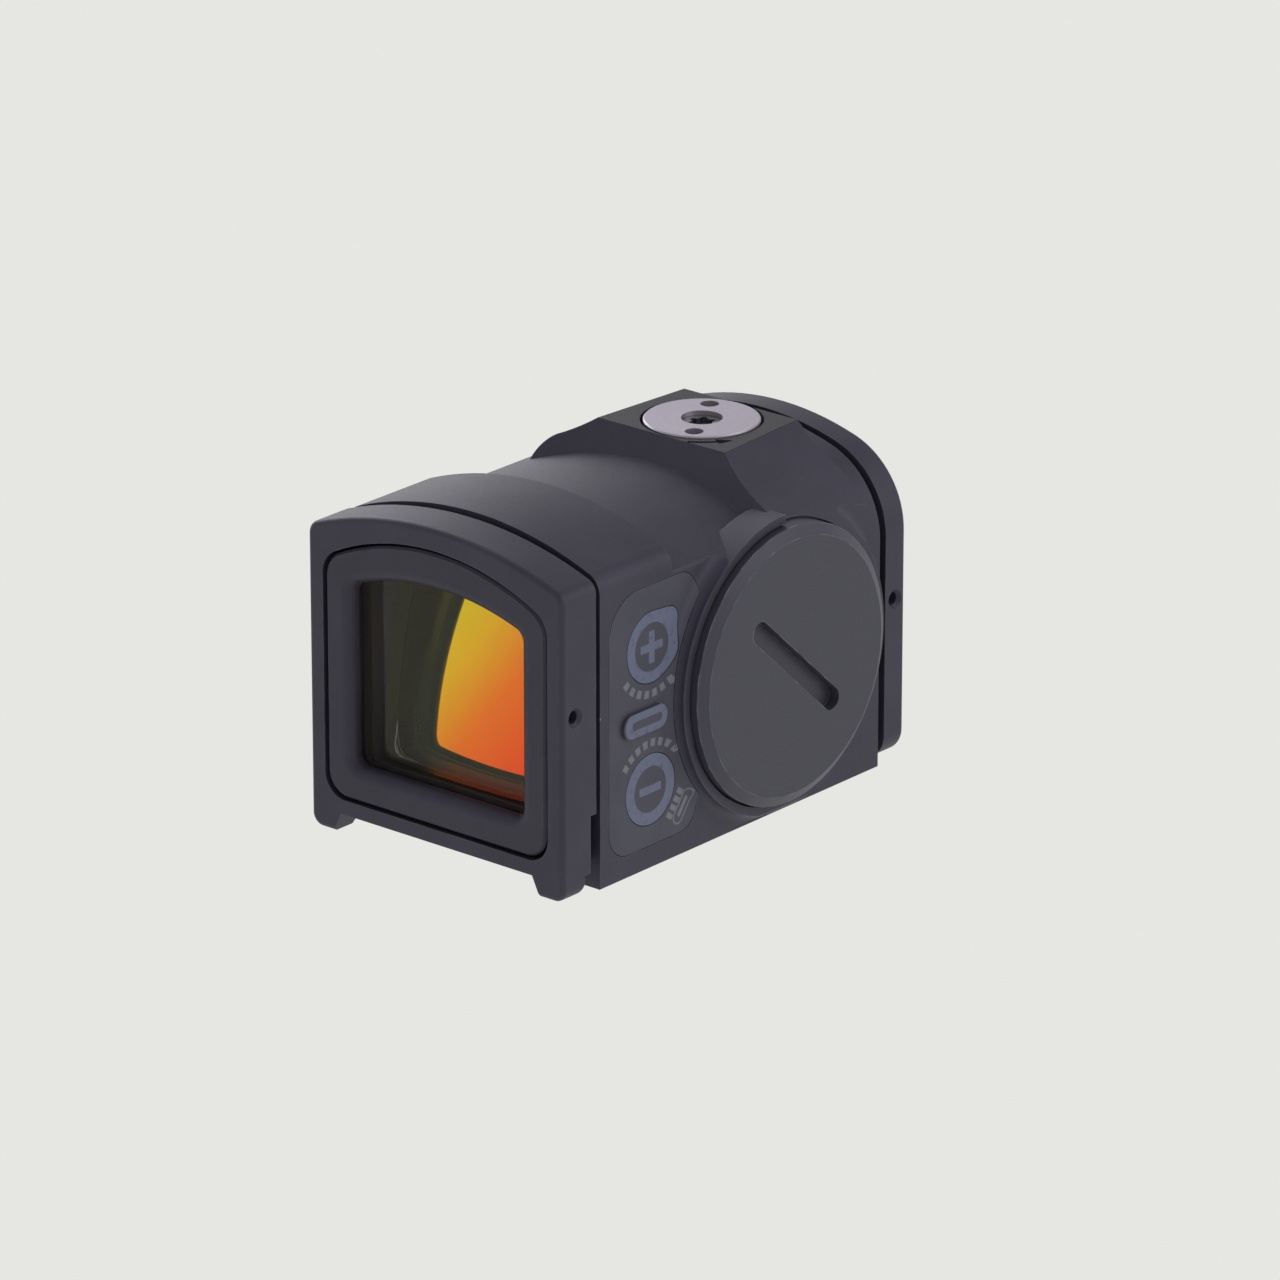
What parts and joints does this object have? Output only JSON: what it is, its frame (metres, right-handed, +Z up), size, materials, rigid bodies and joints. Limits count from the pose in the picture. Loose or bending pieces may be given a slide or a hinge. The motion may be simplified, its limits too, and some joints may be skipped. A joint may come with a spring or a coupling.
{
  "type": "red dot sight",
  "caption": "Compact enclosed red dot sight: sealed metal box with a leaning coated lens, a side coin-cell cap and keypad, and flush dials for elevation and windage.",
  "frame": {"origin": "middle of the mounting channel's roof, the flat face that rests on a mounting plate", "axes": "+Z up towards the elevation dial, +Y back along the line of sight towards the user, +X to the side with the battery cap and keypad"},
  "size_m": [0.0321, 0.0476, 0.0322],
  "materials": {
    "housing": "matte hard-anodised, finely blasted",
    "bezel": "matte hard-anodised",
    "cap": "hard-anodised, turned face",
    "window_glass": "polished, anti-reflection coated",
    "front_lens_glass": "polished, wavelength-selective mirror coating",
    "rear_lens_glass": "polished",
    "seal": "soft matte",
    "keypad": "matte moulded rubber with pale markings",
    "dial": "fine turned face",
    "steel": "plain",
    "spring_steel": "drawn wire",
    "brass": "machined",
    "cell": "nickel-plated",
    "contact": "plated spring bronze",
    "insulator": "moulded",
    "circuit_board": "solder mask",
    "flex": "polyimide film",
    "chip": "moulded package",
    "stage": "black anodised",
    "baffle": "dead-matte black",
    "emitter": "clear red package"
  },
  "bodies": {
    "housing": {"housing": "housing", "front_bezel": "bezel", "front_window": "window_glass", "front_window_seal": "seal", "rear_bezel": "bezel", "rear_window": "window_glass", "rear_window_seal": "seal", "front_lens": "front_lens_glass", "rear_lens": "rear_lens_glass", "lens_retainer": "stage", "battery_contact": "contact", "battery_insulator": "insulator", "keypad_panel": "keypad", "keypad_board": "circuit_board", "key_domes": "spring_steel", "keypad_flex": "flex", "stage_pins": "steel", "elevation_springs": "spring_steel", "main_board": "circuit_board", "board_chips": "chip", "board_screws": "steel", "tunnel_baffle": "baffle", "elevation_detent_ball": "steel", "elevation_detent_spring": "spring_steel", "windage_detent_ball": "steel", "windage_detent_spring": "spring_steel"},
    "battery_cell": {"battery_cell": "cell"},
    "battery_cap_seal": {"battery_cap_seal": "seal"},
    "battery_cap": {"battery_cap": "cap"},
    "plus_key": {"plus_key": "keypad"},
    "minus_key": {"minus_key": "keypad"},
    "elevation_dial": {"elevation_dial": "dial", "elevation_screw": "steel", "elevation_dial_seal": "seal", "elevation_clip": "spring_steel"},
    "elevation_stage": {"elevation_stage": "stage", "elevation_nut": "brass", "stage_rods": "steel", "windage_spring": "spring_steel"},
    "windage_dial": {"windage_dial": "dial", "windage_screw": "steel", "windage_dial_seal": "seal", "windage_clip": "spring_steel"},
    "windage_plunger": {"windage_plunger": "brass"},
    "windage_stage": {"windage_stage": "stage", "emitter_board": "circuit_board", "emitter": "emitter"}
  },
  "joints": [
    {"name": "battery_lift", "type": "slide", "parent": "housing", "child": "battery_cell", "axis": [1, 0, 0], "range_m": [0, 0.03]},
    {"name": "cap_advance", "type": "slide", "parent": "battery_cell", "child": "battery_cap_seal", "axis": [1, 0, 0], "range_m": [0, 0.0025]},
    {"name": "cap_turn", "type": "hinge", "parent": "battery_cap_seal", "child": "battery_cap", "pos_m": [0.0173, 0.00505, 0.01264], "axis": [1, 0, 0], "range_deg": [0, 901]},
    {"name": "plus_press", "type": "slide", "parent": "housing", "child": "plus_key", "axis": [-1, 0, 0], "range_m": [0, 0.0004], "stiffness_N_per_m": 5000},
    {"name": "minus_press", "type": "slide", "parent": "housing", "child": "minus_key", "axis": [-1, 0, 0], "range_m": [0, 0.0004], "stiffness_N_per_m": 5000},
    {"name": "elevation_turn", "type": "hinge", "parent": "housing", "child": "elevation_dial", "pos_m": [0, 0.0126, 0.02997], "axis": [0, 0, 1], "range_deg": [-451, 451]},
    {"name": "elevation_travel", "type": "slide", "parent": "housing", "child": "elevation_stage", "axis": [0, 0, 1], "range_m": [-0.0004375, 0.0004375], "deforming": ["elevation_springs"]},
    {"name": "windage_turn", "type": "hinge", "parent": "housing", "child": "windage_dial", "pos_m": [-0.01465, 0.0126, 0.01427], "axis": [-1, 0, 0], "range_deg": [-451, 451]},
    {"name": "windage_push", "type": "slide", "parent": "housing", "child": "windage_plunger", "axis": [1, 0, 0], "range_m": [-0.00045, 0.00045]},
    {"name": "windage_travel", "type": "slide", "parent": "elevation_stage", "child": "windage_stage", "axis": [1, 0, 0], "range_m": [-0.0004375, 0.0004375], "deforming": ["windage_spring"]}
  ],
  "couplings": [
    {"joint": "cap_turn", "follows": "cap_advance", "rad_per_m": 6283.2},
    {"joint": "elevation_turn", "follows": "elevation_travel", "rad_per_m": -17952},
    {"joint": "windage_turn", "follows": "windage_travel", "rad_per_m": 17952},
    {"joint": "windage_push", "follows": "windage_travel", "ratio": 1}
  ]
}
